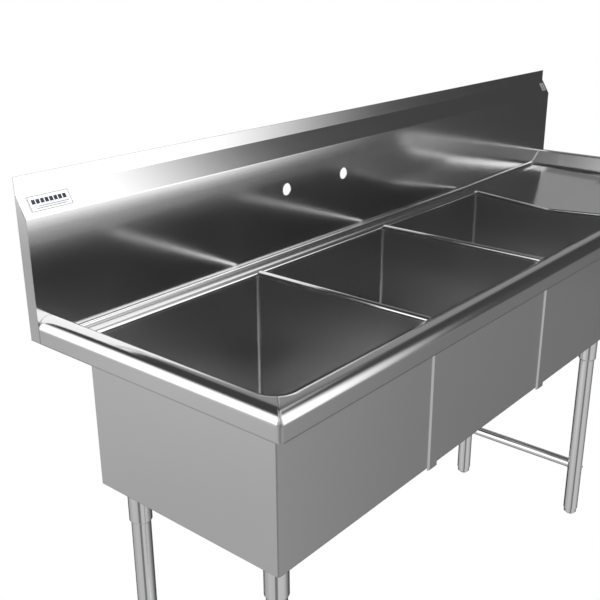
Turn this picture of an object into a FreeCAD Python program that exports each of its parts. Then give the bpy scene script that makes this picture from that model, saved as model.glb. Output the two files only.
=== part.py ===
import FreeCAD, Part
import math
import os

Vector = FreeCAD.Vector

# A stainless steel scullery sink with three compartments and a drainboard on the right.
# Millimetres, +Z up, +X to the right as seen from the front, +Y towards the wall.
# The origin is on the floor, under the centre of the bounding box.

# Overall size
length = 1917.7
depth = 579.4
apron_foot_z = 868.0          # lower edge of the rolled rim's apron
sheet = 1.5                   # thickness of the top, rims and bowls

# Rolled rim, measured inwards from its outer face and upwards from the apron's foot
rim_width = 76.2
rim_height = 47.6
roll_radius = 22.2
rim_slope = math.radians(34.0)   # fall of the rim towards the bowls, past its crest
crest_radius = 20.0           # bend between the rim's level crest and its slope
opening_edge_radii = (4.0, 4.5)  # bend at the opening's edge, on the sheet's seen face and behind
apron_corner_cut = 5.4        # the flat on the rim's front corners, measured along each apron
opening_corner_radius = 38.0

# Deck and backsplash, heights from the apron's foot
deck_height = 3.6
wall_top = -6.0               # where the bowls' walls meet the deck
splash_face = 553.4           # front face of the backsplash, from the front of the apron
splash_cove_radius = 9.0
ledge_edge_radius = 8.0
band_foot = 222.4             # the sloped band of the backsplash
band_head = 262.1
splash_height = 290.5
splash_bend_radius = 3.0
cove_overlap = 0.01           # how far a cove runs up behind the backsplash's cut edge

# Bowls
bowl_size = 444.5
bowl_gap = 12.7
bowl_floor = -302.0
bowl_corner_cut = 2.6         # the flat on a bowl's upright edges, outside
bowl_corner_radius = 7.5      # inside
bowl_foot_radii = (2.5, 6.5)  # edges of the floor, outside and inside
bowl_fall = 6.0               # the floor's fall to the drain
fall_half = 125.0             # half of the square where the fall starts
sump_half = 62.0              # half of the flat square around the drain
bowl_count = 3

# Joint strips that cover the gaps between the bowls
strip_width = 36.0
strip_depth = 3.0
strip_bevel = 5.0             # width of the slanting side of a strip
strip_tail = 4.0              # how far a strip reaches below the bowls

# Drainboard, heights from the apron's foot
board_edge_radius = 5.0
board_valley_left = -11.9
board_valley_right = 6.0
board_margin_left = deck_height
board_margin_right = 10.5
board_channel_inset = 110.0
channel_width = 60.0
channel_lip = 18.0
channel_depth = 24.0

# Faucet holes
faucet_spacing = 203.2
faucet_hole_radius = 13.5
faucet_height = 150.4
faucet_shift = 1.4            # the holes' centre, right of the middle bowl's centre

# Legs
leg_inset = 50.0              # leg's axis, inside the bowls' outer faces
rear_leg_inset = 45.2
leg_radius = 19.05
leg_wall = 1.5
foot_gap = 18.0               # exposed height of an adjustable foot
socket_radius = 22.25
socket_length = 85.0
socket_chamfer = 3.0
gusset_half = 42.0
gusset_thickness = 3.0
brace_radius = 12.7
brace_height = 154.0
brace_wall = 1.5
brace_screw_radius = 4.0
brace_screw_head = 2.2
set_screw_radius = 3.0
set_screw_length = 7.4
insert_length = 30.0
foot_radius = 17.0
foot_tip_radius = 11.0
foot_body_height = 16.7
thread_radius = 6.35
thread_clearance = 0.08
thread_length = 42.0

# Basket drain
drain_flange_radius = 56.0
drain_flange_thickness = 1.6
drain_throat_radius = 43.0
drain_wall = 1.8
drain_cup_depth = 52.0
drain_hole_radius = 45.5
outlet_radius = 20.0
outlet_length = 22.0
gasket_thickness = 3.0
locknut_radius = 56.0
locknut_height = 12.0
locknut_facets = 12
tailpiece_radius = 19.05
tailpiece_wall = 1.5
tailpiece_length = 110.0
tailpiece_flange_radius = 21.5
tailpiece_flange_height = 2.5
tailpiece_neck_radius = 19.5
tailpiece_neck_length = 6.0
coupling_radius = 28.0
coupling_height = 20.0
coupling_facets = 8
basket_rim_radius = 41.5
basket_body_radius = 36.0
basket_foot_radius = 30.0
basket_depth = 34.0
basket_wall = 1.2
basket_float = 0.4            # gap between a basket and the drain that it sits in
basket_hole_radius = 2.6
basket_floor_holes = ((12.0, 6), (21.0, 10))   # radius and number of holes in each ring
basket_side_rows = (11.9, 22.1)                # heights of the rows of holes in the side
basket_side_holes = 12
knob_radius = 8.0
knob_height = 12.0
knob_stem_radius = 3.2

# Blank plates on the sloped band
plate_thickness = 0.6
plate_margin = 15.8
plate_length = 85.0
plate_width = 29.0
small_plate_margin = 7.0
small_plate_length = 25.0
small_plate_width = 26.0

left = -length / 2
right = length / 2
front = -depth / 2
back = depth / 2
wall_y = front + splash_face
crest_z = apron_foot_z + rim_height
deck_z = apron_foot_z + deck_height
wall_top_z = apron_foot_z + wall_top
bowl_pitch = bowl_size + bowl_gap
bowl_front = front + rim_width
bowl_back = bowl_front + bowl_size
bowl_bottom_z = apron_foot_z + bowl_floor
bowls_right = left + rim_width + bowl_count * bowl_pitch - bowl_gap
bowl_centre_y = bowl_front + bowl_size / 2


def save(shape, node):
    """Write one node; a shape that isn't valid stops the build."""
    if not shape.isValid():
        raise ValueError(node + " isn't a valid shape")
    shape.exportStep("parts/" + node + ".step")


def rounded_path(points):
    """Open wire through (x, y, z, radius) points, with a tangent arc at each inner one."""
    corners = [Vector(*p[:3]) for p in points]
    edges = []
    start = corners[0]
    for before, corner, after, point in zip(corners, corners[1:], corners[2:], points[1:]):
        into = (corner - before).normalize()
        out = (after - corner).normalize()
        turn = into.getAngle(out)
        if point[3] <= 0 or turn < 1e-6:
            edges.append(Part.makeLine(start, corner))
            start = corner
            continue
        run = point[3] * math.tan(turn / 2)
        first = corner - into * run
        last = corner + out * run
        middle = corner + (out - into).normalize() * point[3] * (1 / math.cos(turn / 2) - 1)
        if (first - start).Length > 1e-6:
            edges.append(Part.makeLine(start, first))
        edges.append(Part.Arc(first, middle, last).toShape())
        start = last
    edges.append(Part.makeLine(start, corners[-1]))
    return Part.Wire(edges)


def bent_sheet(points, run):
    """Sheet whose seen face follows a bent path, with its thickness behind, extruded along run."""
    return rounded_path(points).makeOffset2D(-sheet, 0, True, True).extrude(run)


def prism(outline, low, high):
    """Upright prism over a plan outline of (x, y) points."""
    wire = Part.makePolygon([Vector(x, y, low) for x, y in outline + outline[:1]])
    return Part.Face(wire).extrude(Vector(0, 0, high - low))


def box(x_span, y_span, z_span):
    """Box from three (low, high) pairs."""
    low = Vector(x_span[0], y_span[0], z_span[0])
    return Part.makeBox(x_span[1] - x_span[0], y_span[1] - y_span[0], z_span[1] - z_span[0], low)


def upright_edges(solid):
    """Edges of a solid that run along Z."""
    found = []
    for edge in solid.Edges:
        ends = edge.Vertexes
        if len(ends) == 2 and abs(ends[0].Z - ends[1].Z) > 1:
            if abs(ends[0].X - ends[1].X) < 1e-6 and abs(ends[0].Y - ends[1].Y) < 1e-6:
                found.append(edge)
    return found


def edges_near(solid, test):
    """Edges whose centre passes a test."""
    return [edge for edge in solid.Edges if test(edge.CenterOfMass)]


def mirrored(solid):
    """Copy on the other side of the length's middle."""
    return solid.mirror(Vector(0, 0, 0), Vector(1, 0, 0))


def turned(outline):
    """Solid of revolution about Z from an (r, z) outline."""
    wire = Part.makePolygon([Vector(r, 0, z) for r, z in outline + outline[:1]])
    return Part.Face(wire).revolve(Vector(0, 0, 0), Vector(0, 0, 1), 360)


# Rolled rim ------------------------------------------------------------------

def roll_outline(inset, low):
    """Rolled rim seen end on, as an (inwards, z) face: apron, quarter roll and a level top."""
    radius = roll_radius - inset
    centre_z = crest_z - roll_radius
    top = centre_z + radius
    slant = radius * math.cos(math.pi / 4)
    edges = [
        Part.makeLine(Vector(inset, 0, low), Vector(inset, 0, centre_z)),
        Part.Arc(Vector(inset, 0, centre_z), Vector(roll_radius - slant, 0, centre_z + slant),
                 Vector(roll_radius, 0, top)).toShape(),
        Part.makeLine(Vector(roll_radius, 0, top), Vector(length, 0, top)),
        Part.makeLine(Vector(length, 0, top), Vector(length, 0, low)),
        Part.makeLine(Vector(length, 0, low), Vector(inset, 0, low)),
    ]
    return Part.Face(Part.Wire(edges))


def rolled_block(inset, low):
    """Body of the rim before the opening is cut: two rolls, and a narrow third across their corner."""
    bodies = []
    for degrees, start, run in (
        (0, Vector(left, front - rim_width, 0), Vector(0, splash_face + rim_width, 0)),
        (90, Vector(right, front, 0), Vector(-length - rim_width, 0, 0)),
        (45, Vector(left + apron_corner_cut / 2 + length, front + apron_corner_cut / 2 - length, 0),
         Vector(-2 * length, 2 * length, 0)),
    ):
        section = roll_outline(inset, low)
        section.rotate(Vector(0, 0, 0), Vector(0, 0, 1), degrees)
        section.translate(start)
        bodies.append(section.extrude(run))
    keep = box((left, right), (front, wall_y + 1), (low - 1, crest_z + 1))
    return bodies[0].common(bodies[1]).common(bodies[2]).common(keep)


def opening_outline(inwards, z, radius):
    """Rounded plan outline of the opening in the rim, a given distance in from the outer faces."""
    far = right + rim_width
    low_x = left + inwards
    low_y = front + inwards
    turn = radius * (1 - math.cos(math.pi / 4))
    edges = [
        Part.makeLine(Vector(far, low_y, z), Vector(low_x + radius, low_y, z)),
        Part.Arc(Vector(low_x + radius, low_y, z), Vector(low_x + turn, low_y + turn, z),
                 Vector(low_x, low_y + radius, z)).toShape(),
        Part.makeLine(Vector(low_x, low_y + radius, z), Vector(low_x, back, z)),
        Part.makeLine(Vector(low_x, back, z), Vector(far, back, z)),
        Part.makeLine(Vector(far, back, z), Vector(far, low_y, z)),
    ]
    return Part.Wire(edges)


def opening_tool(inset, low):
    """Space that the rim's sloping face and turned-down edge surround."""
    leave_in = roll_radius * (1 + math.sin(rim_slope))
    leave_z = crest_z - roll_radius * (1 - math.cos(rim_slope))
    wall = rim_width + sheet - inset
    drop = inset / math.cos(rim_slope)
    meet_z = leave_z - drop - (wall - leave_in) * math.tan(rim_slope)
    top_in = wall - roll_radius * 2 / math.tan(rim_slope)
    radius = opening_corner_radius + inset
    bottom = opening_outline(wall, meet_z, radius)
    funnel = Part.makeLoft([bottom, opening_outline(top_in, meet_z + roll_radius * 2, radius)], True, True)
    shaft = Part.Face(opening_outline(wall, low, radius)).extrude(Vector(0, 0, meet_z - low))
    tool = funnel.fuse(shaft).removeSplitter()
    lip = edges_near(tool, lambda c: abs(c.z - meet_z) < 1e-3 and c.x < right and c.y < back - 1e-3)
    return tool.makeFillet(opening_edge_radii[1] if inset > 0 else opening_edge_radii[0], lip)


def rim_body(inset, low, open_low):
    """Body under one face of the rim, with the opening cut and the bend along the crest."""
    body = rolled_block(inset, low).cut(opening_tool(inset, open_low))
    past_roll = roll_radius + 1
    level = edges_near(body, lambda c: abs(c.z - crest_z + inset) < 1e-3)
    bend = [edge for edge in level if left + past_roll < edge.CenterOfMass.x < right - 1
            and front + past_roll < edge.CenterOfMass.y < wall_y - 1]
    return body.makeFillet(crest_radius - inset, bend)


def rims():
    """Front, left and right rims in one sheet thickness, mitred where they meet."""
    open_low = wall_top_z - rim_width
    shell = rim_body(0, wall_top_z, wall_top_z - 1).cut(rim_body(sheet, open_low, open_low))
    half_rim = rim_width / 2
    shell = shell.cut(box((left - 1, left + half_rim), (front - 1, back), (open_low, apron_foot_z)))
    shell = shell.cut(box((left - 1, right), (front - 1, front + half_rim), (open_low, apron_foot_z)))
    inner_x = left + rim_width * 2
    inner_y = front + rim_width * 2
    side_plan = [(left, front), (inner_x, inner_y), (inner_x, wall_y), (left, wall_y)]
    side = shell.common(prism(side_plan, wall_top_z, crest_z + 1))
    face_plan = [(left, front), (inner_x, inner_y), (0, inner_y), (0, front)]
    face = shell.common(prism(face_plan, wall_top_z, crest_z + 1))
    front_piece = face.fuse(mirrored(face)).removeSplitter()
    right_piece = mirrored(side)
    save(front_piece, "front_rim")
    save(side, "left_rim")
    save(right_piece, "right_rim")
    return front_piece, right_piece


# Backsplash and ledge ----------------------------------------------------------

def backsplash():
    """Upright panel with a sloped band and a wall flange, and two holes for a faucet."""
    flange_y = back - sheet
    points = [
        (left, flange_y, apron_foot_z + splash_height, 0),
        (left, flange_y, apron_foot_z + band_head, splash_bend_radius),
        (left, wall_y, apron_foot_z + band_foot, splash_bend_radius),
        (left, wall_y, wall_top_z, 0),
    ]
    panel = bent_sheet(points, Vector(length, 0, 0))
    ledge_rise = deck_z + splash_cove_radius
    board_rise = apron_foot_z + board_margin_right + splash_cove_radius
    outline = [
        (left + rim_width + sheet, ledge_rise),
        (bowls_right - sheet, ledge_rise),
        (right - rim_width - sheet, board_rise),
        (right - rim_width - sheet, wall_top_z - 1),
        (left + rim_width + sheet, wall_top_z - 1),
    ]
    wire = Part.makePolygon([Vector(x, wall_y - 1, z) for x, z in outline + outline[:1]])
    panel = panel.cut(Part.Face(wire).extrude(Vector(0, sheet + 2, 0)))
    middle = left + rim_width + bowl_size / 2 + bowl_pitch + faucet_shift
    for side in (-1, 1):
        centre = Vector(middle + side * faucet_spacing / 2, wall_y - 1, apron_foot_z + faucet_height)
        panel = panel.cut(Part.makeCylinder(faucet_hole_radius, sheet + 2, centre, Vector(0, 1, 0)))
    half_rim = rim_width / 2
    for x_span in ((left - 1, left + half_rim), (right - half_rim, right + 1)):
        panel = panel.cut(box(x_span, (wall_y - 1, back), (wall_top_z - 1, apron_foot_z)))
    save(panel, "backsplash")
    return panel


def splash_end_caps(panel):
    """Plates that close the backsplash's ends, level with the aprons."""
    outline = [
        (wall_y + sheet, apron_foot_z),
        (back, apron_foot_z),
        (back, apron_foot_z + band_head - sheet * 2),
        (back - sheet * 2, apron_foot_z + band_head - sheet * 3),
        (wall_y + sheet, apron_foot_z + band_foot - sheet * 2),
    ]
    wire = Part.makePolygon([Vector(left, y, z) for y, z in outline + outline[:1]])
    cap = Part.Face(wire).extrude(Vector(sheet, 0, 0)).cut(panel)
    save(cap, "splash_end_cap_left")
    save(mirrored(cap), "splash_end_cap_right")


def rear_ledge(panel):
    """Cove, flat ledge and turned-down edge behind the bowls."""
    edge_y = bowl_back - sheet
    start = left + rim_width + sheet
    points = [
        (start, wall_y, deck_z + splash_cove_radius + cove_overlap, 0),
        (start, wall_y, deck_z, splash_cove_radius),
        (start, edge_y, deck_z, ledge_edge_radius),
        (start, edge_y, wall_top_z, 0),
    ]
    run = Vector(bowls_right - sheet - start, 0, 0)
    save(bent_sheet(points, run).cut(panel), "rear_ledge")


def divider_caps():
    """Half-round channels over the gaps between the bowls."""
    radius = bowl_gap / 2 + sheet
    y_span = (bowl_front + sheet, bowl_back - sheet)
    spring_z = deck_z - radius
    for number in range(1, bowl_count):
        centre_x = left + rim_width + number * bowl_pitch - bowl_gap / 2
        bodies = []
        for reach in (radius, radius - sheet):
            start = Vector(centre_x, y_span[0], spring_z)
            crown = Part.makeCylinder(reach, y_span[1] - y_span[0], start, Vector(0, 1, 0))
            stem = box((centre_x - reach, centre_x + reach), y_span, (wall_top_z, spring_z))
            bodies.append(crown.fuse(stem))
        outer, inner = bodies
        above = box((centre_x - radius, centre_x + radius), y_span, (wall_top_z, deck_z))
        save(outer.common(above).cut(inner).removeSplitter(), "divider_cap_" + str(number))


# Drainboard ----------------------------------------------------------------------

def board_section(y, inset, left_z, right_z, low):
    """Section of the drainboard's body across X: a rounded left edge and a fall to the left."""
    x_left = bowls_right - sheet + inset
    x_right = right - rim_width - sheet
    path = rounded_path([
        (x_left, y, low, 0),
        (x_left, y, apron_foot_z + left_z - inset, board_edge_radius - inset),
        (x_right, y, apron_foot_z + right_z - inset, 0),
    ])
    close = Part.makePolygon([Vector(x_right, y, apron_foot_z + right_z - inset), Vector(x_right, y, low),
                              Vector(x_left, y, low)])
    return Part.Wire(path.Edges + close.Edges)


def board_body(inset, low):
    """Body under the drainboard's valley, from the front rim to the line of the bowls' backs."""
    sections = [
        board_section(bowl_front + sheet, inset, board_margin_left, board_margin_right, low),
        board_section(bowl_centre_y, inset, board_valley_left, board_valley_right, low),
        board_section(bowl_back - sheet, inset, board_margin_left, board_margin_right, low),
    ]
    return Part.makeLoft(sections, True, True)


def lip_line_body(x_span, above):
    """Space above or below the V-shaped line where the drainboard meets the right bowl's wall."""
    dip = wall_top_z + board_valley_left - deck_height
    level = crest_z if above else wall_top_z - rim_width
    outline = [
        (bowl_front - 1, level),
        (bowl_front - 1, wall_top_z),
        (bowl_front + sheet, wall_top_z),
        (bowl_centre_y, dip),
        (bowl_back - sheet, wall_top_z),
        (bowl_back + 1, wall_top_z),
        (bowl_back + 1, level),
    ]
    wire = Part.makePolygon([Vector(x_span[0], y, z) for y, z in outline + outline[:1]])
    return Part.Face(wire).extrude(Vector(x_span[1] - x_span[0], 0, 0))


def board_rear_section(x, margin):
    """Section across Y of the cove and flat strip between the drainboard and the backsplash."""
    path = rounded_path([
        (x, wall_y, apron_foot_z + margin + splash_cove_radius + cove_overlap, 0),
        (x, wall_y, apron_foot_z + margin, splash_cove_radius),
        (x, bowl_back - sheet, apron_foot_z + margin, 0),
    ])
    return path.makeOffset2D(-sheet, 0, True, True).OuterWire


def drainboard(panel, rim_pieces):
    """Drainboard that falls to a valley and into the right bowl, and the body under its sheet."""
    low = wall_top_z - rim_width
    x_left = bowls_right - sheet
    under = board_body(sheet, low)
    pan = board_body(0, low + 1).cut(under)
    pan = pan.cut(lip_line_body((x_left - 1, x_left + channel_depth), False))
    rear = Part.makeLoft([
        board_rear_section(x_left, board_margin_left),
        board_rear_section(right - rim_width - sheet, board_margin_right),
    ], True, True)
    board = pan.fuse(rear).removeSplitter().cut(panel)
    for piece in rim_pieces:
        board = board.cut(piece)
    save(max(board.Solids, key=lambda solid: solid.Volume), "drainboard")
    return under


def drainboard_channels(under):
    """Stiffening channels welded along the drainboard's underside."""
    x_span = (bowls_right, right - rim_width - sheet)
    for name, side in (("front", -1), ("rear", 1)):
        centre_y = bowl_centre_y + side * board_channel_inset
        half = channel_width / 2
        low = apron_foot_z - channel_depth
        outer = box(x_span, (centre_y - half, centre_y + half), (low, crest_z))
        inner_half = half - sheet
        inner = box(x_span, (centre_y - inner_half, centre_y + inner_half), (low + sheet, crest_z))
        save(outer.cut(inner).common(under), "drainboard_channel_" + name)


# Bowls ---------------------------------------------------------------------------

def bowl_body(centre_x, inset, top):
    """Box of a bowl with its edges eased and a floor that falls to the drain."""
    half = bowl_size / 2 - inset
    floor_z = bowl_bottom_z + inset
    y_span = (bowl_centre_y - half, bowl_centre_y + half)
    body = box((centre_x - half, centre_x + half), y_span, (floor_z, top))
    if inset > 0:
        body = body.makeFillet(bowl_corner_radius, upright_edges(body))
    else:
        body = body.makeChamfer(bowl_corner_cut, upright_edges(body))
    rim_of_floor = [edge for edge in body.Edges if abs(edge.BoundBox.ZMax - floor_z) < 1e-3]
    body = body.makeFillet(bowl_foot_radii[1] if inset > 0 else bowl_foot_radii[0], rim_of_floor)
    squares = []
    for reach, z in ((fall_half, floor_z), (sump_half, floor_z - bowl_fall)):
        corners = [(-reach, -reach), (reach, -reach), (reach, reach), (-reach, reach), (-reach, -reach)]
        points = [Vector(centre_x + dx, bowl_centre_y + dy, z) for dx, dy in corners]
        squares.append(Part.makePolygon(points))
    return body.fuse(Part.makeLoft(squares, True, True))


def bowls():
    """Three bowls, each with a square collar at its top and a hole for its drain."""
    for number, name in enumerate(("left", "middle", "right")):
        centre_x = left + rim_width + bowl_size / 2 + number * bowl_pitch
        half = bowl_size / 2
        bowl = bowl_body(centre_x, 0, wall_top_z)
        x_span = (centre_x - half, centre_x + half)
        collar = box(x_span, (bowl_front, bowl_back), (wall_top_z - sheet, wall_top_z))
        bowl = bowl.fuse(collar).cut(bowl_body(centre_x, sheet, wall_top_z + 1))
        drop = Vector(centre_x, bowl_centre_y, bowl_bottom_z - bowl_fall - 1)
        bowl = bowl.cut(Part.makeCylinder(drain_hole_radius, sheet + 2, drop))
        if name == "right":
            bowl = bowl.cut(lip_line_body((bowls_right - sheet, bowls_right + 1), True))
        save(bowl, "bowl_" + name)


def joint_strips():
    """Formed strips with slanting sides over the gaps between the bowls, on their fronts and backs."""
    low = bowl_bottom_z - strip_tail
    high = wall_top_z - strip_width / 2
    half = strip_width / 2
    face_y = bowl_front - strip_depth
    for number in range(1, bowl_count):
        centre_x = left + rim_width + number * bowl_pitch - bowl_gap / 2
        strip = prism([(centre_x - half, bowl_front), (centre_x - half + strip_bevel, face_y),
                       (centre_x + half - strip_bevel, face_y), (centre_x + half, bowl_front)], low, high)
        save(strip, "front_joint_strip_" + str(number))
        back_strip = strip.mirror(Vector(0, bowl_centre_y, 0), Vector(0, 1, 0))
        save(back_strip, "rear_joint_strip_" + str(number))


# Legs ----------------------------------------------------------------------------

def leg_places():
    """Names and axes of the four legs."""
    x_span = (left + rim_width + leg_inset, bowls_right - leg_inset)
    y_span = (bowl_front + leg_inset, bowl_back - rear_leg_inset)
    return [("front_left", x_span[0], y_span[0]), ("front_right", x_span[1], y_span[0]),
            ("rear_left", x_span[0], y_span[1]), ("rear_right", x_span[1], y_span[1])]


def placed(shape, x, y, z):
    """Copy of a shape moved to a place."""
    copy = shape.copy()
    copy.translate(Vector(x, y, z))
    return copy


def leg_socket():
    """Gusset plate and a tubular socket under it, hung from z = 0."""
    plate = box((-gusset_half, gusset_half), (-gusset_half, gusset_half), (-gusset_thickness, 0))
    plate = plate.makeFillet(gusset_half / 4, upright_edges(plate))
    tube = turned([
        (leg_radius, -gusset_thickness),
        (socket_radius, -gusset_thickness),
        (socket_radius, socket_chamfer - socket_length),
        (leg_radius + 1, -socket_length),
        (leg_radius, -socket_length),
    ])
    return plate.fuse(tube)


def legs():
    """Sockets, leg tubes, foot inserts, adjustable feet, and the screws that hold them."""
    socket = leg_socket()
    tube_top = bowl_bottom_z - gusset_thickness
    tube = turned([
        (leg_radius - leg_wall, foot_gap),
        (leg_radius, foot_gap),
        (leg_radius, tube_top),
        (leg_radius - leg_wall, tube_top),
    ])
    insert = turned([
        (thread_radius + thread_clearance, foot_gap),
        (leg_radius - leg_wall, foot_gap),
        (leg_radius - leg_wall, foot_gap + insert_length),
        (thread_radius + thread_clearance, foot_gap + insert_length),
    ])
    foot = turned([
        (0, 0),
        (foot_tip_radius, 0),
        (foot_radius, foot_tip_radius / 2),
        (foot_radius, foot_body_height),
        (thread_radius, foot_body_height),
        (thread_radius, foot_body_height + thread_length),
        (0, foot_body_height + thread_length),
    ])
    set_screw_place = Vector(0, leg_radius, -socket_length / 2)
    set_screw = Part.makeCylinder(set_screw_radius, set_screw_length, set_screw_place, Vector(0, 1, 0))
    shank_start = leg_radius + brace_screw_head
    inserts = []
    set_screws = []
    brace_screws = []
    for name, x, y in leg_places():
        facing = -1 if name.startswith("front") else 1
        outwards = Vector(0, facing, 0)
        axis = Vector(0, 0, brace_height)
        head = Part.makeCylinder(brace_screw_radius, shank_start, axis, outwards)
        head = head.cut(Part.makeCylinder(leg_radius, crest_z))
        shank_end = axis + outwards * leg_radius
        shank = Part.makeCylinder(brace_screw_radius / 2, shank_start * 2, shank_end, outwards * -1)
        screw = head.fuse(shank)
        brace_screws.append(placed(screw, x, y, 0))
        set_screws.append(placed(set_screw, x, y, bowl_bottom_z))
        inserts.append(placed(insert, x, y, 0))
        save(placed(socket.cut(set_screw), x, y, bowl_bottom_z), "leg_socket_" + name)
        save(placed(tube.cut(screw), x, y, 0), "leg_tube_" + name)
        save(placed(foot, x, y, 0), "adjustable_foot_" + name)
    save(Part.makeCompound(inserts), "foot_inserts")
    save(Part.makeCompound(set_screws), "socket_set_screws")
    save(Part.makeCompound(brace_screws), "brace_screws")


def braces():
    """Tubes between the front and rear legs, coped to fit round them."""
    for name in ("left", "right"):
        x, y_front = [(x, y) for place, x, y in leg_places() if place == "front_" + name][0]
        y_rear = [y for place, x, y in leg_places() if place == "rear_" + name][0]
        run = y_rear - y_front
        start = Vector(x, y_front, brace_height)
        tube = Part.makeCylinder(brace_radius, run, start, Vector(0, 1, 0))
        tube = tube.cut(Part.makeCylinder(brace_radius - brace_wall, run, start, Vector(0, 1, 0)))
        for y in (y_front, y_rear):
            tube = tube.cut(Part.makeCylinder(leg_radius, brace_height * 2, Vector(x, y, 0)))
        save(tube, "cross_brace_" + name)


# Drains --------------------------------------------------------------------------

def strainer_body(flange_z):
    """Basket drain: flange, cup and a threaded outlet."""
    bottom = flange_z - drain_cup_depth
    outlet_end = bottom - outlet_length
    shell_radius = drain_throat_radius + drain_wall
    return turned([
        (drain_throat_radius, flange_z),
        (drain_flange_radius, flange_z - drain_flange_thickness / 2),
        (drain_flange_radius, flange_z - drain_flange_thickness),
        (shell_radius, flange_z - drain_flange_thickness),
        (shell_radius, bottom),
        (outlet_radius + drain_wall, bottom),
        (outlet_radius + drain_wall, outlet_end),
        (outlet_radius, outlet_end),
        (outlet_radius, bottom + drain_wall),
        (drain_throat_radius, bottom + drain_wall),
    ])


def ring(inner, outer, low, high):
    """Plain ring about Z."""
    return turned([(inner, low), (outer, low), (outer, high), (inner, high)])


def faceted(radius, facets, low, high):
    """Upright prism with flat sides, such as a nut's outside."""
    steps = [2 * math.pi * i / facets for i in range(facets)]
    return prism([(radius * math.cos(a), radius * math.sin(a)) for a in steps], low, high)


def basket_cup(seat_z):
    """Perforated crumb cup that lifts out of a drain."""
    top = seat_z + basket_depth
    cup = turned([
        (0, seat_z),
        (basket_foot_radius, seat_z),
        (basket_body_radius, top - basket_wall),
        (basket_rim_radius, top - basket_wall),
        (basket_rim_radius, top),
        (basket_body_radius - basket_wall, top),
        (basket_foot_radius - basket_wall, seat_z + basket_wall),
        (knob_stem_radius, seat_z + basket_wall),
        (knob_stem_radius, top + knob_height),
        (0, top + knob_height),
    ])
    for radius, count in basket_floor_holes:
        for step in range(count):
            angle = 2 * math.pi * step / count
            place = Vector(radius * math.cos(angle), radius * math.sin(angle), seat_z - 1)
            cup = cup.cut(Part.makeCylinder(basket_hole_radius, basket_wall + 2, place))
    for level in basket_side_rows:
        for step in range(basket_side_holes):
            angle = 2 * math.pi * (step + level / basket_depth) / basket_side_holes
            out = Vector(math.cos(angle), math.sin(angle), 0)
            place = out * (basket_foot_radius - basket_wall * 5) + Vector(0, 0, seat_z + level)
            cup = cup.cut(Part.makeCylinder(basket_hole_radius, basket_body_radius, place, out))
    return cup


def basket_knob(seat_z):
    """Moulded knob on a basket's stem."""
    low = seat_z + basket_depth + 1
    high = seat_z + basket_depth + knob_height
    return turned([
        (knob_stem_radius, low),
        (knob_radius / 2, low),
        (knob_radius, low + knob_height / 3),
        (knob_radius, high),
        (knob_radius / 2, high + knob_height / 4),
        (0, high + knob_height / 4),
        (0, high),
        (knob_stem_radius, high),
    ])


def drains():
    """Basket drain, gasket, locknut, tailpiece, coupling nut and lift-out basket of each bowl."""
    sump_z = bowl_bottom_z - bowl_fall
    flange_z = sump_z + sheet + drain_flange_thickness
    outlet_z = flange_z - drain_cup_depth - outlet_length
    shell_radius = drain_throat_radius + drain_wall
    locknut_top = sump_z - gasket_thickness
    strainer = strainer_body(flange_z)
    gasket = ring(shell_radius, drain_flange_radius, locknut_top, sump_z)
    locknut_low = locknut_top - locknut_height
    locknut = faceted(locknut_radius, locknut_facets, locknut_low, locknut_top)
    locknut = locknut.cut(Part.makeCylinder(shell_radius, locknut_height, Vector(0, 0, locknut_low)))
    tailpiece = turned([
        (tailpiece_radius - tailpiece_wall, outlet_z),
        (tailpiece_flange_radius, outlet_z),
        (tailpiece_flange_radius, outlet_z - tailpiece_flange_height),
        (tailpiece_neck_radius, outlet_z - tailpiece_flange_height),
        (tailpiece_neck_radius, outlet_z - tailpiece_neck_length),
        (tailpiece_radius, outlet_z - tailpiece_neck_length),
        (tailpiece_radius, outlet_z - tailpiece_length),
        (tailpiece_radius - tailpiece_wall, outlet_z - tailpiece_length),
    ])
    nut_low = outlet_z - tailpiece_flange_height * 2
    coupling = faceted(coupling_radius, coupling_facets, nut_low, nut_low + coupling_height)
    bore = turned([
        (0, nut_low),
        (tailpiece_neck_radius, nut_low),
        (tailpiece_neck_radius, outlet_z - tailpiece_flange_height),
        (outlet_radius + drain_wall, outlet_z - tailpiece_flange_height),
        (outlet_radius + drain_wall, nut_low + coupling_height),
        (0, nut_low + coupling_height),
    ])
    seat_z = flange_z - drain_cup_depth + drain_wall + basket_float
    pieces = [
        ("drain_body", strainer),
        ("drain_gasket", gasket),
        ("drain_locknut", locknut),
        ("drain_tailpiece", tailpiece),
        ("drain_coupling_nut", coupling.cut(bore)),
        ("basket_cup", basket_cup(seat_z)),
        ("basket_knob", basket_knob(seat_z)),
    ]
    for number, name in enumerate(("left", "middle", "right")):
        centre_x = left + rim_width + bowl_size / 2 + number * bowl_pitch
        for piece_name, piece in pieces:
            save(placed(piece, centre_x, bowl_centre_y, 0), piece_name + "_" + name)


def rating_plates():
    """Blank plates stuck on the backsplash's sloped band, near its two ends."""
    rise = band_head - band_foot
    lean = math.degrees(math.atan2(depth - sheet - splash_face, rise))
    band = math.hypot(depth - sheet - splash_face, rise)
    small_plate_x = right - small_plate_margin - small_plate_length
    for name, size_x, size_z, x in (
        ("rating_plate", plate_length, plate_width, left + plate_margin),
        ("inspection_plate", small_plate_length, small_plate_width, small_plate_x),
    ):
        plate = box((0, size_x), (-plate_thickness, 0), ((band - size_z) / 2, (band + size_z) / 2))
        plate.rotate(Vector(0, 0, 0), Vector(1, 0, 0), -lean)
        plate.translate(Vector(x, wall_y, apron_foot_z + band_foot))
        save(plate, name)


os.makedirs("parts", exist_ok=True)
rim_pieces = rims()
panel = backsplash()
splash_end_caps(panel)
rear_ledge(panel)
divider_caps()
drainboard_channels(drainboard(panel, rim_pieces))
bowls()
joint_strips()
legs()
braces()
drains()
rating_plates()
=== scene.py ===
import math

import bmesh
import bpy
from mathutils import Matrix, Vector


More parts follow.
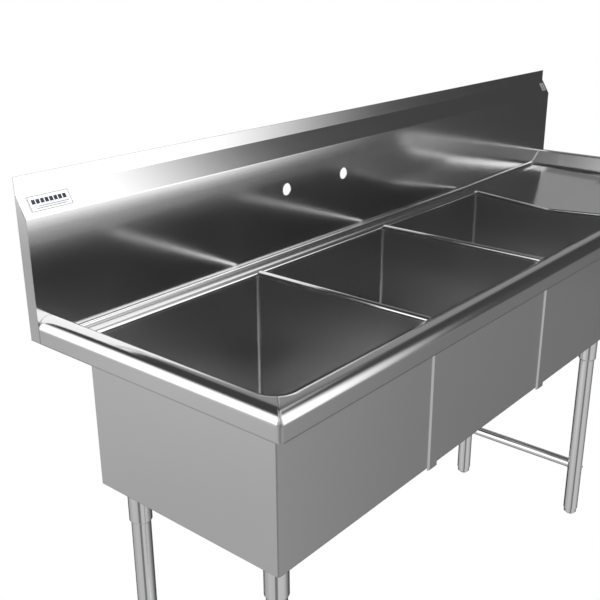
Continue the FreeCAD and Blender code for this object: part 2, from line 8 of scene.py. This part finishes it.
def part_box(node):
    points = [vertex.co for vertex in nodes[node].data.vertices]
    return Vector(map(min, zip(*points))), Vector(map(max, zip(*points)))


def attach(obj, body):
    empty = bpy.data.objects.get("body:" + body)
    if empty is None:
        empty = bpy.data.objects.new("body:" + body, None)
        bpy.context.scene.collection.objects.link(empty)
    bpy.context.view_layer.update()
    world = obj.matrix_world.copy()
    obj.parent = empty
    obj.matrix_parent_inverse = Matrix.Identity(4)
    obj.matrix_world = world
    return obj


# Looks of a stainless steel scullery sink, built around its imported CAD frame. Metres, +Z up,
# +X to the right as seen from the front, +Y towards the wall.

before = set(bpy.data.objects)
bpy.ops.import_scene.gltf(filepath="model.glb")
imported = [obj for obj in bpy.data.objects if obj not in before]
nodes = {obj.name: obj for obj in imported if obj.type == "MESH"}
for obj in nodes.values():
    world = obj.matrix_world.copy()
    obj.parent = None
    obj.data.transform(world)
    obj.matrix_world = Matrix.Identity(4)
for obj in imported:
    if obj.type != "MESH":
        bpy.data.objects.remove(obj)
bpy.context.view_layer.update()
scene = bpy.context.scene

# Steel's grain: noise cells per metre along and across its lay
grain_along = 3.0
grain_across = 700.0
end_face_normal = 0.75           # a face whose normal has more X than this is an end face
grain_depth = 0.0004
dark_grain_share = 0.97          # tone of the grain's dark lines, as a share of the light ones
scratch_levels = (0.74, 0.8)     # noise levels where a scratch starts and is full
bevel_samples = 4

# Small metal parts and moulded parts
small_edge = 0.0006
tool_mark_depth = 0.0002
dull_share = 0.86
pore_scale = 900.0
pore_depth = 0.0003
mottle_share = 0.92

# Weld beads
bead_sides = 8
bead_swell = 0.10
socket_radius = 0.02225
socket_bead = (0.0016, 36)       # radius of the bead and number of its ripples
socket_bead_drop = 0.0032
socket_bead_gap = 0.0008
socket_bead_steps = 144
gusset_bead = (0.0014, 10)
gusset_bead_drop = 0.0008
gusset_bead_gap = 0.0002
gusset_corner_steps = 10
brace_bead = (0.0013, 24)
brace_bead_gap = 0.0004
brace_bead_steps = 96

# Sealed joint line along the rear ledge, drawn dark as painted shade along the cove's crease
ledge_sheet = 0.0015
ledge_cove = 0.009
seam_lean = math.radians(62.0)
seam_inset = 0.00001
seam_half_width = 0.0004
seam_depths = (-0.0002, 0.0001)

# Printed ink, above and below a plate's face
ink_depths = (-0.00002, 0.00008)

# Studio
light_heading = -40.0            # the surround is described by turns counted from this heading
horizon = (-19.0, -10.0)         # the floor's reflection fades out over these rises
sky_level = 0.07
key_level = 2.0
fill_level = 0.62
surround_strength = 0.82
floor_radius = 40.0
floor_sides = 96


# Material helpers --------------------------------------------------------------

class Graph:
    """Small helper that adds and joins nodes in one material's or world's tree."""

    def __init__(self, tree):
        self.tree = tree
        self.tree.nodes.clear()

    def add(self, kind, inputs=None, **settings):
        node = self.tree.nodes.new(kind)
        for key, value in settings.items():
            setattr(node, key, value)
        for key, value in (inputs or {}).items():
            self.feed(node, key, value)
        return node

    def feed(self, node, key, value):
        """Joins a socket to another node's output, or sets it to a plain value."""
        if isinstance(value, bpy.types.NodeSocket):
            self.tree.links.new(value, node.inputs[key])
        else:
            node.inputs[key].default_value = value

    def math(self, operation, a, b=0.0, clamp=False):
        node = self.add("ShaderNodeMath", {0: a, 1: b}, operation=operation, use_clamp=clamp)
        return node.outputs[0]

    def span(self, value, low, high, to_low, to_high, **settings):
        """Value mapped from one range to another, and held inside it."""
        node = self.add("ShaderNodeMapRange", {"Value": value, "From Min": low, "From Max": high,
                                               "To Min": to_low, "To Max": to_high}, **settings)
        return node.outputs["Result"]

    def smooth(self, value, low, high, to_low, to_high):
        """Like span, with a soft start and end."""
        return self.span(value, low, high, to_low, to_high, interpolation_type="SMOOTHSTEP")

    def noise(self, vector, scale, detail=2.0, roughness=0.5, distortion=0.0):
        node = self.add("ShaderNodeTexNoise", {"Vector": vector, "Scale": scale, "Detail": detail,
                                               "Roughness": roughness, "Distortion": distortion})
        return node.outputs["Fac"]

    def scaled(self, vector, factors):
        node = self.add("ShaderNodeVectorMath", {0: vector, 1: factors}, operation="MULTIPLY")
        return node.outputs[0]

    def mix_vectors(self, factor, a, b):
        node = self.add("ShaderNodeMix", {"Factor": factor}, data_type="VECTOR")
        vectors = [socket for socket in node.inputs if socket.type == "VECTOR" and socket.enabled]
        for socket, value in zip(vectors[-2:], (a, b)):
            self.tree.links.new(value, socket)
        return [socket for socket in node.outputs if socket.type == "VECTOR"][0]

    def tint(self, factor, dark, light):
        """Colour between two colours."""
        node = self.add("ShaderNodeMix", {"Factor": factor}, data_type="RGBA")
        colours = [socket for socket in node.inputs if socket.type == "RGBA"]
        for socket, value in zip(colours, (dark, light)):
            socket.default_value = (*value, 1.0)
        return [socket for socket in node.outputs if socket.type == "RGBA"][0]

    def soft_edge(self, radius):
        """Normal that rounds edges off by a radius."""
        return self.add("ShaderNodeBevel", {"Radius": radius}, samples=bevel_samples).outputs[0]

    def surface(self, colour, metallic, rough, bump):
        """Joins a principled shader to the material's output."""
        shader = self.add("ShaderNodeBsdfPrincipled", {
            "Base Color": colour, "Metallic": metallic, "Roughness": rough,
            "Normal": bump.outputs[0]})
        self.add("ShaderNodeOutputMaterial", {"Surface": shader.outputs[0]})


def new_material(name):
    material = bpy.data.materials.new(name)
    material.use_nodes = True
    return material, Graph(material.node_tree)


def brushed_steel(name, tone, roughness, upright=False, grain=0.01, edge=0.0008):
    """Satin stainless steel: fine parallel grain, faint smudges, sparse scratches and softened edges.

    The grain runs up and down when upright, or else along each face's horizontal direction.
    """
    material, g = new_material(name)
    place = g.add("ShaderNodeTexCoord").outputs["Object"]
    if upright:
        lay = g.scaled(place, (grain_across, grain_across, grain_along))
    else:
        true_normal = g.add("ShaderNodeNewGeometry").outputs["True Normal"]
        sideways = g.add("ShaderNodeSeparateXYZ", {0: true_normal}).outputs["X"]
        end_face = g.math("GREATER_THAN", g.math("ABSOLUTE", sideways), end_face_normal)
        lay = g.mix_vectors(end_face, g.scaled(place, (grain_along, grain_across, grain_across)),
                            g.scaled(place, (grain_across, grain_along, grain_across)))
    fine = g.noise(lay, 1.0, detail=2.0, roughness=0.6)
    coarse = g.noise(g.scaled(lay, (1.0, 0.22, 0.22)), 1.0, detail=1.0)
    clouds = g.noise(place, 2.6, detail=3.0, distortion=0.6)
    wipes = g.noise(g.scaled(place, (1.0, 1.0, 2.2)), 9.0, detail=4.0, distortion=1.4)
    scratch_field = g.noise(g.scaled(lay, (0.55, 0.3, 0.3)), 1.0, detail=0.0)
    scratches = g.span(scratch_field, *scratch_levels, 0.0, 1.0)

    shade = g.math("ADD", g.math("MULTIPLY", fine, 0.6), g.math("MULTIPLY", clouds, 0.4))
    colour = g.tint(g.span(shade, 0.3, 0.7, 0.0, 1.0), (tone * dark_grain_share,) * 3, (tone,) * 3)

    # Roughness varies with the grain, with wiped smudges, in wide clouds and along scratches
    rough = g.math("ADD", g.span(fine, 0.25, 0.75, -0.008, 0.008), roughness)
    rough = g.math("ADD", rough, g.span(wipes, 0.35, 0.75, -0.0018, 0.006))
    rough = g.math("ADD", rough, g.span(clouds, 0.3, 0.7, -0.0018, 0.0018))
    rough = g.math("ADD", rough, g.math("MULTIPLY", scratches, 0.012), clamp=True)

    height = g.math("ADD", fine, g.math("MULTIPLY", coarse, 0.5))
    height = g.math("SUBTRACT", height, g.math("MULTIPLY", scratches, 0.3))
    bump = g.add("ShaderNodeBump", {"Strength": grain, "Distance": grain_depth, "Height": height,
                                    "Normal": g.soft_edge(edge)})
    g.surface(colour, 1.0, rough, bump)
    return material


def cast_metal(name, colour, roughness, mark_scale=260.0, marks=0.12):
    """Turned or plated small metal part: faint tool marks and dull patches."""
    material, g = new_material(name)
    place = g.add("ShaderNodeTexCoord").outputs["Object"]
    rings = g.noise(g.scaled(place, (0.15, 0.15, 4.0)), mark_scale, detail=1.0)
    patches = g.noise(place, 60.0, detail=3.0, distortion=0.5)
    tone = g.tint(g.span(patches, 0.35, 0.7, 0.0, 1.0), tuple(c * dull_share for c in colour), colour)
    rough = g.math("ADD", g.span(patches, 0.3, 0.7, -0.04, 0.08), roughness, clamp=True)
    bump = g.add("ShaderNodeBump", {"Strength": marks, "Distance": tool_mark_depth, "Height": rings,
                                    "Normal": g.soft_edge(small_edge)})
    g.surface(tone, 1.0, rough, bump)
    return material


def moulded(name, colour, roughness, texture=0.15, metallic=0.0):
    """Moulded plastic, rubber or a printed face: fine leathery texture and slight unevenness."""
    material, g = new_material(name)
    place = g.add("ShaderNodeTexCoord").outputs["Object"]
    pores = g.noise(place, pore_scale, detail=3.0)
    patches = g.noise(place, 45.0, detail=2.0)
    tone = g.tint(g.span(patches, 0.3, 0.7, 0.0, 1.0), tuple(c * mottle_share for c in colour), colour)
    rough = g.math("ADD", g.span(patches, 0.3, 0.7, -0.05, 0.06), roughness, clamp=True)
    bump = g.add("ShaderNodeBump", {"Strength": texture, "Distance": pore_depth, "Height": pores})
    g.surface(tone, metallic, rough, bump)
    return material


# Finishes of the frame's material slots, as (name, tone or colour, roughness)
looks = {
    "splash_steel": brushed_steel("satin_splash", 0.74, 0.14, grain=0.002),
    "rim_steel": brushed_steel("satin_rim", 0.74, 0.13, grain=0.003, edge=0.004),
    "ledge_steel": brushed_steel("satin_ledge", 0.74, 0.12, grain=0.006, edge=0.0005),
    "bowl_steel": brushed_steel("satin_bowl", 0.74, 0.23, grain=0.003),
    "board_steel": brushed_steel("satin_board", 0.74, 0.12, grain=0.002),
    "leg_steel": brushed_steel("satin_leg", 0.86, 0.14, upright=True),
    "foot_steel": brushed_steel("satin_foot", 0.84, 0.16, upright=True),
    "insert_plastic": moulded("nylon_insert", (0.05, 0.05, 0.052), 0.5),
    "screw_steel": cast_metal("plated_screw", (0.72, 0.72, 0.70), 0.24),
    "drain_chrome": cast_metal("plated_drain", (0.70, 0.70, 0.71), 0.12),
    "nut_brass": cast_metal("dull_brass", (0.62, 0.46, 0.22), 0.34),
    "gasket_rubber": moulded("gasket_rubber", (0.022, 0.022, 0.024), 0.62),
    "basket_steel": cast_metal("basket_satin", (0.60, 0.60, 0.59), 0.24),
    "knob_plastic": moulded("knob_plastic", (0.02, 0.02, 0.022), 0.36),
    "plate_white": moulded("printed_plate", (0.96, 0.96, 0.97), 0.22, texture=0.02, metallic=0.6),
}
for node in nodes.values():
    for slot in node.material_slots:
        slot.material = looks[slot.material.name.split(".")[0]]


# Pieces that the frame leaves out ---------------------------------------------------

looks["ink"] = moulded("dark_ink", (0.018, 0.03, 0.075), 0.4, texture=0.05)
looks["grey_ink"] = moulded("grey_ink", (0.28, 0.29, 0.31), 0.4, texture=0.05)
looks["weld_steel"] = cast_metal("weld_bead", (0.55, 0.54, 0.52), 0.30, mark_scale=500.0, marks=0.3)
# Dark sealant colour: partly a real sealed joint, partly painted shade in the ledge's cove
looks["sealant_and_painted_shade"] = moulded("sealant_and_painted_shade", (0.10, 0.10, 0.10), 0.45, texture=0.1)


def corners(node):
    """A node's lowest and highest corners at rest."""
    return (Vector(corner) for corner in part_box(node))


def add_piece(name, points, faces, look, smooth=True):
    """New mesh piece that rides on the sink."""
    mesh = bpy.data.meshes.new(name)
    mesh.from_pydata([tuple(p) for p in points], [], faces)
    shape = bmesh.new()
    shape.from_mesh(mesh)
    bmesh.ops.recalc_face_normals(shape, faces=shape.faces)
    shape.to_mesh(mesh)
    shape.free()
    for face in mesh.polygons:
        face.use_smooth = smooth
    mesh.materials.append(looks[look])
    piece = bpy.data.objects.new(name, mesh)
    scene.collection.objects.link(piece)
    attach(piece, "sink")


def swept(name, path, section, look, closed):
    """Section of (sideways, upwards) offsets swept along a path of (point, sideways, upwards)."""
    points = []
    count = len(section(0.0))
    for index, (point, sideways, upwards) in enumerate(path):
        for across, rise in section(index / len(path)):
            points.append(point + sideways * across + upwards * rise)
    faces = []
    for ring in range(len(path) if closed else len(path) - 1):
        following = (ring + 1) % len(path)
        for side in range(count):
            other = (side + 1) % count
            faces.append((ring * count + side, ring * count + other,
                          following * count + other, following * count + side))
    if not closed:
        faces.append(tuple(range(count)))
        faces.append(tuple((len(path) - 1) * count + side for side in range(count)))
    add_piece(name, points, faces, look)


def weld_bead(name, path, bead):
    """Round bead that swells and shrinks along a closed path."""
    radius, ripples = bead

    def section(along):
        swell = radius * (1.0 + bead_swell * math.sin(2.0 * math.pi * ripples * along))
        return [(swell * math.cos(a), swell * math.sin(a))
                for a in (2.0 * math.pi * step / bead_sides for step in range(bead_sides))]

    swept(name, path, section, "weld_steel", True)


def ring_path(centre, radius, along, across, count):
    """Closed circular path, with each point's outward and axial directions."""
    axis = along.cross(across).normalized()
    path = []
    for step in range(count):
        angle = 2.0 * math.pi * step / count
        outward = along * math.cos(angle) + across * math.sin(angle)
        path.append((centre + outward * radius, outward, axis))
    return path


def plate_path(top, half, corner_radius):
    """Closed path round a square plate with rounded corners."""
    up = Vector((0, 0, 1))
    path = []
    for corner, (sx, sy) in enumerate(((1, 1), (-1, 1), (-1, -1), (1, -1))):
        middle = top + Vector((sx, sy, 0)) * (half - corner_radius)
        for step in range(gusset_corner_steps):
            angle = math.radians(90.0 * (corner + step / (gusset_corner_steps - 1)))
            outward = Vector((math.cos(angle), math.sin(angle), 0))
            reach = corner_radius + gusset_bead_gap
            path.append((middle + outward * reach - up * gusset_bead_drop, outward, up))
    return path


def brace_path(middle, leg_y, inwards, leg_radius, brace_radius):
    """Closed path where a brace's tube meets a leg's tube."""
    across, deep, up = Vector((1, 0, 0)), Vector((0, 1, 0)), Vector((0, 0, 1))
    path = []
    for step in range(brace_bead_steps):
        angle = 2.0 * math.pi * step / brace_bead_steps
        outward = across * math.cos(angle) + up * math.sin(angle)
        reach = math.sqrt(leg_radius ** 2 - (brace_radius * math.cos(angle)) ** 2)
        point = Vector((middle.x, leg_y + inwards * reach, middle.z)) + outward * brace_radius
        path.append((point + outward * brace_bead_gap, outward, deep))
    return path


def leg_welds():
    """Weld beads round each socket, each gusset plate and each end of the cross braces."""
    across, deep, up = Vector((1, 0, 0)), Vector((0, 1, 0)), Vector((0, 0, 1))
    for place in ("front_left", "front_right", "rear_left", "rear_right"):
        low, high = corners("leg_socket_" + place)
        tube_low, tube_high = corners("leg_tube_" + place)
        axis = (tube_low + tube_high) / 2
        plate_half = (high.x - low.x) / 2
        top = Vector((axis.x, axis.y, high.z))
        ring = ring_path(top - up * socket_bead_drop, socket_radius + socket_bead_gap, across, deep,
                         socket_bead_steps)
        weld_bead("socket_weld_" + place, ring, socket_bead)
        weld_bead("gusset_weld_" + place, plate_path(top, plate_half, plate_half / 4), gusset_bead)
    for side in ("left", "right"):
        low, high = corners("cross_brace_" + side)
        for end, inwards in (("front", 1.0), ("rear", -1.0)):
            tube_low, tube_high = corners("leg_tube_" + end + "_" + side)
            path = brace_path((low + high) / 2, (tube_low.y + tube_high.y) / 2, inwards,
                              (tube_high.x - tube_low.x) / 2, (high.x - low.x) / 2)
            weld_bead("brace_weld_" + end + "_" + side, path, brace_bead)


def plate_face(node):
    """Centre, across and up directions, normal and half sizes of a plate's printed face."""
    mesh = nodes[node].data
    front = max(mesh.polygons, key=lambda face: face.area * (face.normal.y < 0))
    normal = front.normal.copy()
    flat = [mesh.vertices[i].co for face in mesh.polygons if face.normal.dot(normal) > 0.999
            for i in face.vertices]
    across = Vector((1, 0, 0))
    upwards = normal.cross(across).normalized()
    if upwards.z < 0:
        upwards = -upwards
    centre = sum(flat, Vector()) / len(flat)
    half_x = max(abs((p - centre).dot(across)) for p in flat)
    half_z = max(abs((p - centre).dot(upwards)) for p in flat)
    return centre, across, upwards, normal, half_x, half_z


def printed_bars(name, node, bars, look):
    """Thin printed bars on a plate, each as (left, right, low, high) in shares of its half size."""
    centre, across, upwards, normal, half_x, half_z = plate_face(node)
    points, faces = [], []
    for left, right, low, high in bars:
        first = len(points)
        for lift in ink_depths:
            for u, w in ((left, low), (right, low), (right, high), (left, high)):
                points.append(centre + across * (u * half_x) + upwards * (w * half_z) + normal * lift)
        for quad in ((0, 1, 2, 3), (4, 5, 6, 7), (0, 1, 5, 4), (1, 2, 6, 5), (2, 3, 7, 6), (3, 0, 4, 7)):
            faces.append(tuple(first + i for i in quad))
    add_piece(name, points, faces, look, smooth=False)


def frame_bars(reach_x, reach_z, thick_x, thick_z):
    """Four bars that make a border, in shares of the plate's half size."""
    return [(-reach_x, reach_x, -reach_z, -reach_z + thick_z),
            (-reach_x, reach_x, reach_z - thick_z, reach_z),
            (-reach_x, -reach_x + thick_x, -reach_z, reach_z),
            (reach_x - thick_x, reach_x, -reach_z, reach_z)]


def plate_prints():
    """Generic print on the two plates: a border, plain bars and no lettering."""
    printed_bars("plate_border", "rating_plate", frame_bars(0.97, 0.94, 0.018, 0.05), "ink")
    block_pitch, block_width = 0.21, 0.16
    starts = [-0.84 + block_pitch * step for step in range(8)]
    blocks = [(start, start + block_width, -0.06, 0.5) for start in starts]
    printed_bars("plate_blocks", "rating_plate", blocks, "ink")
    lines = [(-0.6, 0.85, -0.42, -0.34), (-0.7, 0.7, -0.66, -0.58)]
    printed_bars("plate_lines", "rating_plate", lines, "grey_ink")
    mark = [(-0.3, 0.3, -0.6, -0.4), (-0.12, 0.12, -0.4, 0.6)]
    printed_bars("small_plate_print", "inspection_plate", frame_bars(0.94, 0.94, 0.1, 0.1) + mark, "ink")


def ledge_seam_and_shade_line():
    """Sealed joint line along the rear ledge's cove; its dark colour is also painted shade in the cove's
    crease.
    """
    low, high = corners("rear_ledge")
    outward = Vector((0, -math.sin(seam_lean), math.cos(seam_lean)))
    down = Vector((0, math.cos(seam_lean), math.sin(seam_lean)))
    base = Vector((0, high.y - ledge_sheet - ledge_cove, high.z - seam_inset)) - outward * ledge_cove
    path = [(base + Vector((x, 0, 0)), down, outward) for x in (low.x, high.x)]
    under, above = seam_depths
    strip = [(-seam_half_width, under), (seam_half_width, under),
             (seam_half_width, above), (-seam_half_width, above)]
    swept("ledge_seam_and_shade_line", path, lambda along: strip, "sealant_and_painted_shade", False)


leg_welds()
plate_prints()
ledge_seam_and_shade_line()


# Studio -------------------------------------------------------------------------

# Floor's level in reflections by turn, in degrees from the light heading
ground_stops = ((-180, 0.22), (-172, 0.22), (-163, 0.72), (-112, 0.68), (-94, 0.54), (-84, 0.43),
                (-70, 0.26), (-58, 0.24), (-46, 0.08), (46, 0.08), (66, 0.5), (82, 0.56),
                (100, 0.58), (116, 0.68), (164, 0.64), (172, 0.22))

# Soft lights: where each fades in and out, first by turn and then by rise (degrees), its level, and
# how far its far edge leans for each degree of rise
soft_boxes = (
    ((-118, -104, -88, -75), (-19, -12, 47, 61), key_level, 0.09),       # tall light, right of the front
    ((-166, -158, -118, -104), (4, 12, 47, 61), key_level, 0.0),         # its upper part, further left
    ((-166, -158, -118, -104), (-19, -10, 4, 12), fill_level, 0.0),      # its dim lower part
    ((-95, -84, -60, -36), (40, 50, 62, 74), 1.1, 0.0),                  # wing up to the overhead light
    ((74, 84, 128, 150), (-18, -8, 25, 40), key_level, 0.0),             # tall light on the left
    ((76, 90, 130, 146), (-34, -24, -20, -12), 0.16, 0.0),               # its glow on the floor
    ((-46, -28, 14, 34), (3, 10, 40, 56), 0.31, 0.0),                    # dim light behind the wall
    ((-181, -180, 180, 181), (62, 76, 90, 91), key_level, 0.0),          # overhead light
)


def studio_world():
    """White to the camera. Reflections see tall soft lights on both sides and one overhead, over a
    grey floor."""
    world = bpy.data.worlds.new("studio")
    scene.world = world
    world.use_nodes = True
    g = Graph(world.node_tree)
    direction = g.add("ShaderNodeTexCoord").outputs["Generated"]
    facing = g.add("ShaderNodeVectorRotate", {"Vector": direction, "Angle": math.radians(light_heading)},
                   rotation_type="Z_AXIS").outputs[0]
    parts = g.add("ShaderNodeSeparateXYZ", {0: facing}).outputs
    turn = g.math("MULTIPLY", g.math("ARCTAN2", parts["Y"], parts["X"]), math.degrees(1.0))
    rise = g.math("MULTIPLY", g.math("ARCSINE", parts["Z"]), math.degrees(1.0))
    above = g.math("MAXIMUM", rise, 0.0)

    ramp = g.add("ShaderNodeValToRGB", {"Fac": g.span(turn, -180.0, 180.0, 0.0, 1.0)})
    elements = ramp.color_ramp.elements
    while len(elements) < len(ground_stops):
        elements.new(0.5)
    for element, (angle, level) in zip(elements, ground_stops):
        element.position = (angle + 180.0) / 360.0
        element.color = (level, level, level, 1.0)
    ground = g.math("MULTIPLY", ramp.outputs["Color"], g.smooth(rise, *horizon, 1.0, 0.0))
    level = g.math("ADD", ground, g.smooth(rise, *horizon, 0.0, sky_level))

    for turns, rises, box_level, lean in soft_boxes:
        leaning = g.math("SUBTRACT", turn, g.math("MULTIPLY", above, lean))
        across = g.math("MULTIPLY", g.smooth(turn, *turns[:2], 0.0, 1.0),
                        g.smooth(leaning, *turns[2:], 1.0, 0.0))
        upwards = g.math("MULTIPLY", g.smooth(rise, *rises[:2], 0.0, 1.0),
                         g.smooth(rise, *rises[2:], 1.0, 0.0))
        box = g.math("MULTIPLY", g.math("MULTIPLY", across, upwards), box_level)
        level = g.math("ADD", level, box)
    level = g.math("MULTIPLY", level, surround_strength)

    seen = g.add("ShaderNodeLightPath").outputs["Is Camera Ray"]
    surround = g.add("ShaderNodeBackground", {"Color": (1, 1, 1, 1), "Strength": level})
    plain = g.add("ShaderNodeBackground", {"Color": (1, 1, 1, 1), "Strength": 1.0})
    mixed = g.add("ShaderNodeMixShader", {0: seen, 1: surround.outputs[0], 2: plain.outputs[0]})
    g.add("ShaderNodeOutputWorld", {"Surface": mixed.outputs[0]})


def studio_floor():
    """Plain pale floor."""
    mesh = bpy.data.meshes.new("floor")
    shape = bmesh.new()
    bmesh.ops.create_circle(shape, cap_ends=True, radius=floor_radius, segments=floor_sides)
    shape.to_mesh(mesh)
    shape.free()
    floor = bpy.data.objects.new("floor", mesh)
    scene.collection.objects.link(floor)
    material, g = new_material("pale_floor")
    pale = g.add("ShaderNodeEmission", {"Color": (1, 1, 1, 1), "Strength": 1.0})
    g.add("ShaderNodeOutputMaterial", {"Surface": pale.outputs[0]})
    mesh.materials.append(material)
    floor.visible_glossy = False
    floor.visible_diffuse = False


def studio_camera():
    """Camera at the front left, looking down along the bowls."""
    focal_length, sensor_width = 54.58, 36.0
    heading = math.radians(-49.78)
    tilt = math.radians(90.0 - 20.54)
    roll = math.radians(-0.38)
    place = Matrix.Translation((-1.7753, -1.0165, 1.4901))
    camera = bpy.data.objects.new("camera", bpy.data.cameras.new("camera"))
    scene.collection.objects.link(camera)
    camera.data.sensor_width = sensor_width
    camera.data.lens = focal_length
    turn = Matrix.Rotation(heading, 4, "Z") @ Matrix.Rotation(tilt, 4, "X") @ Matrix.Rotation(roll, 4, "Z")
    camera.matrix_world = place @ turn
    scene.camera = camera


studio_world()
studio_floor()
studio_camera()
scene.view_settings.view_transform = "Standard"
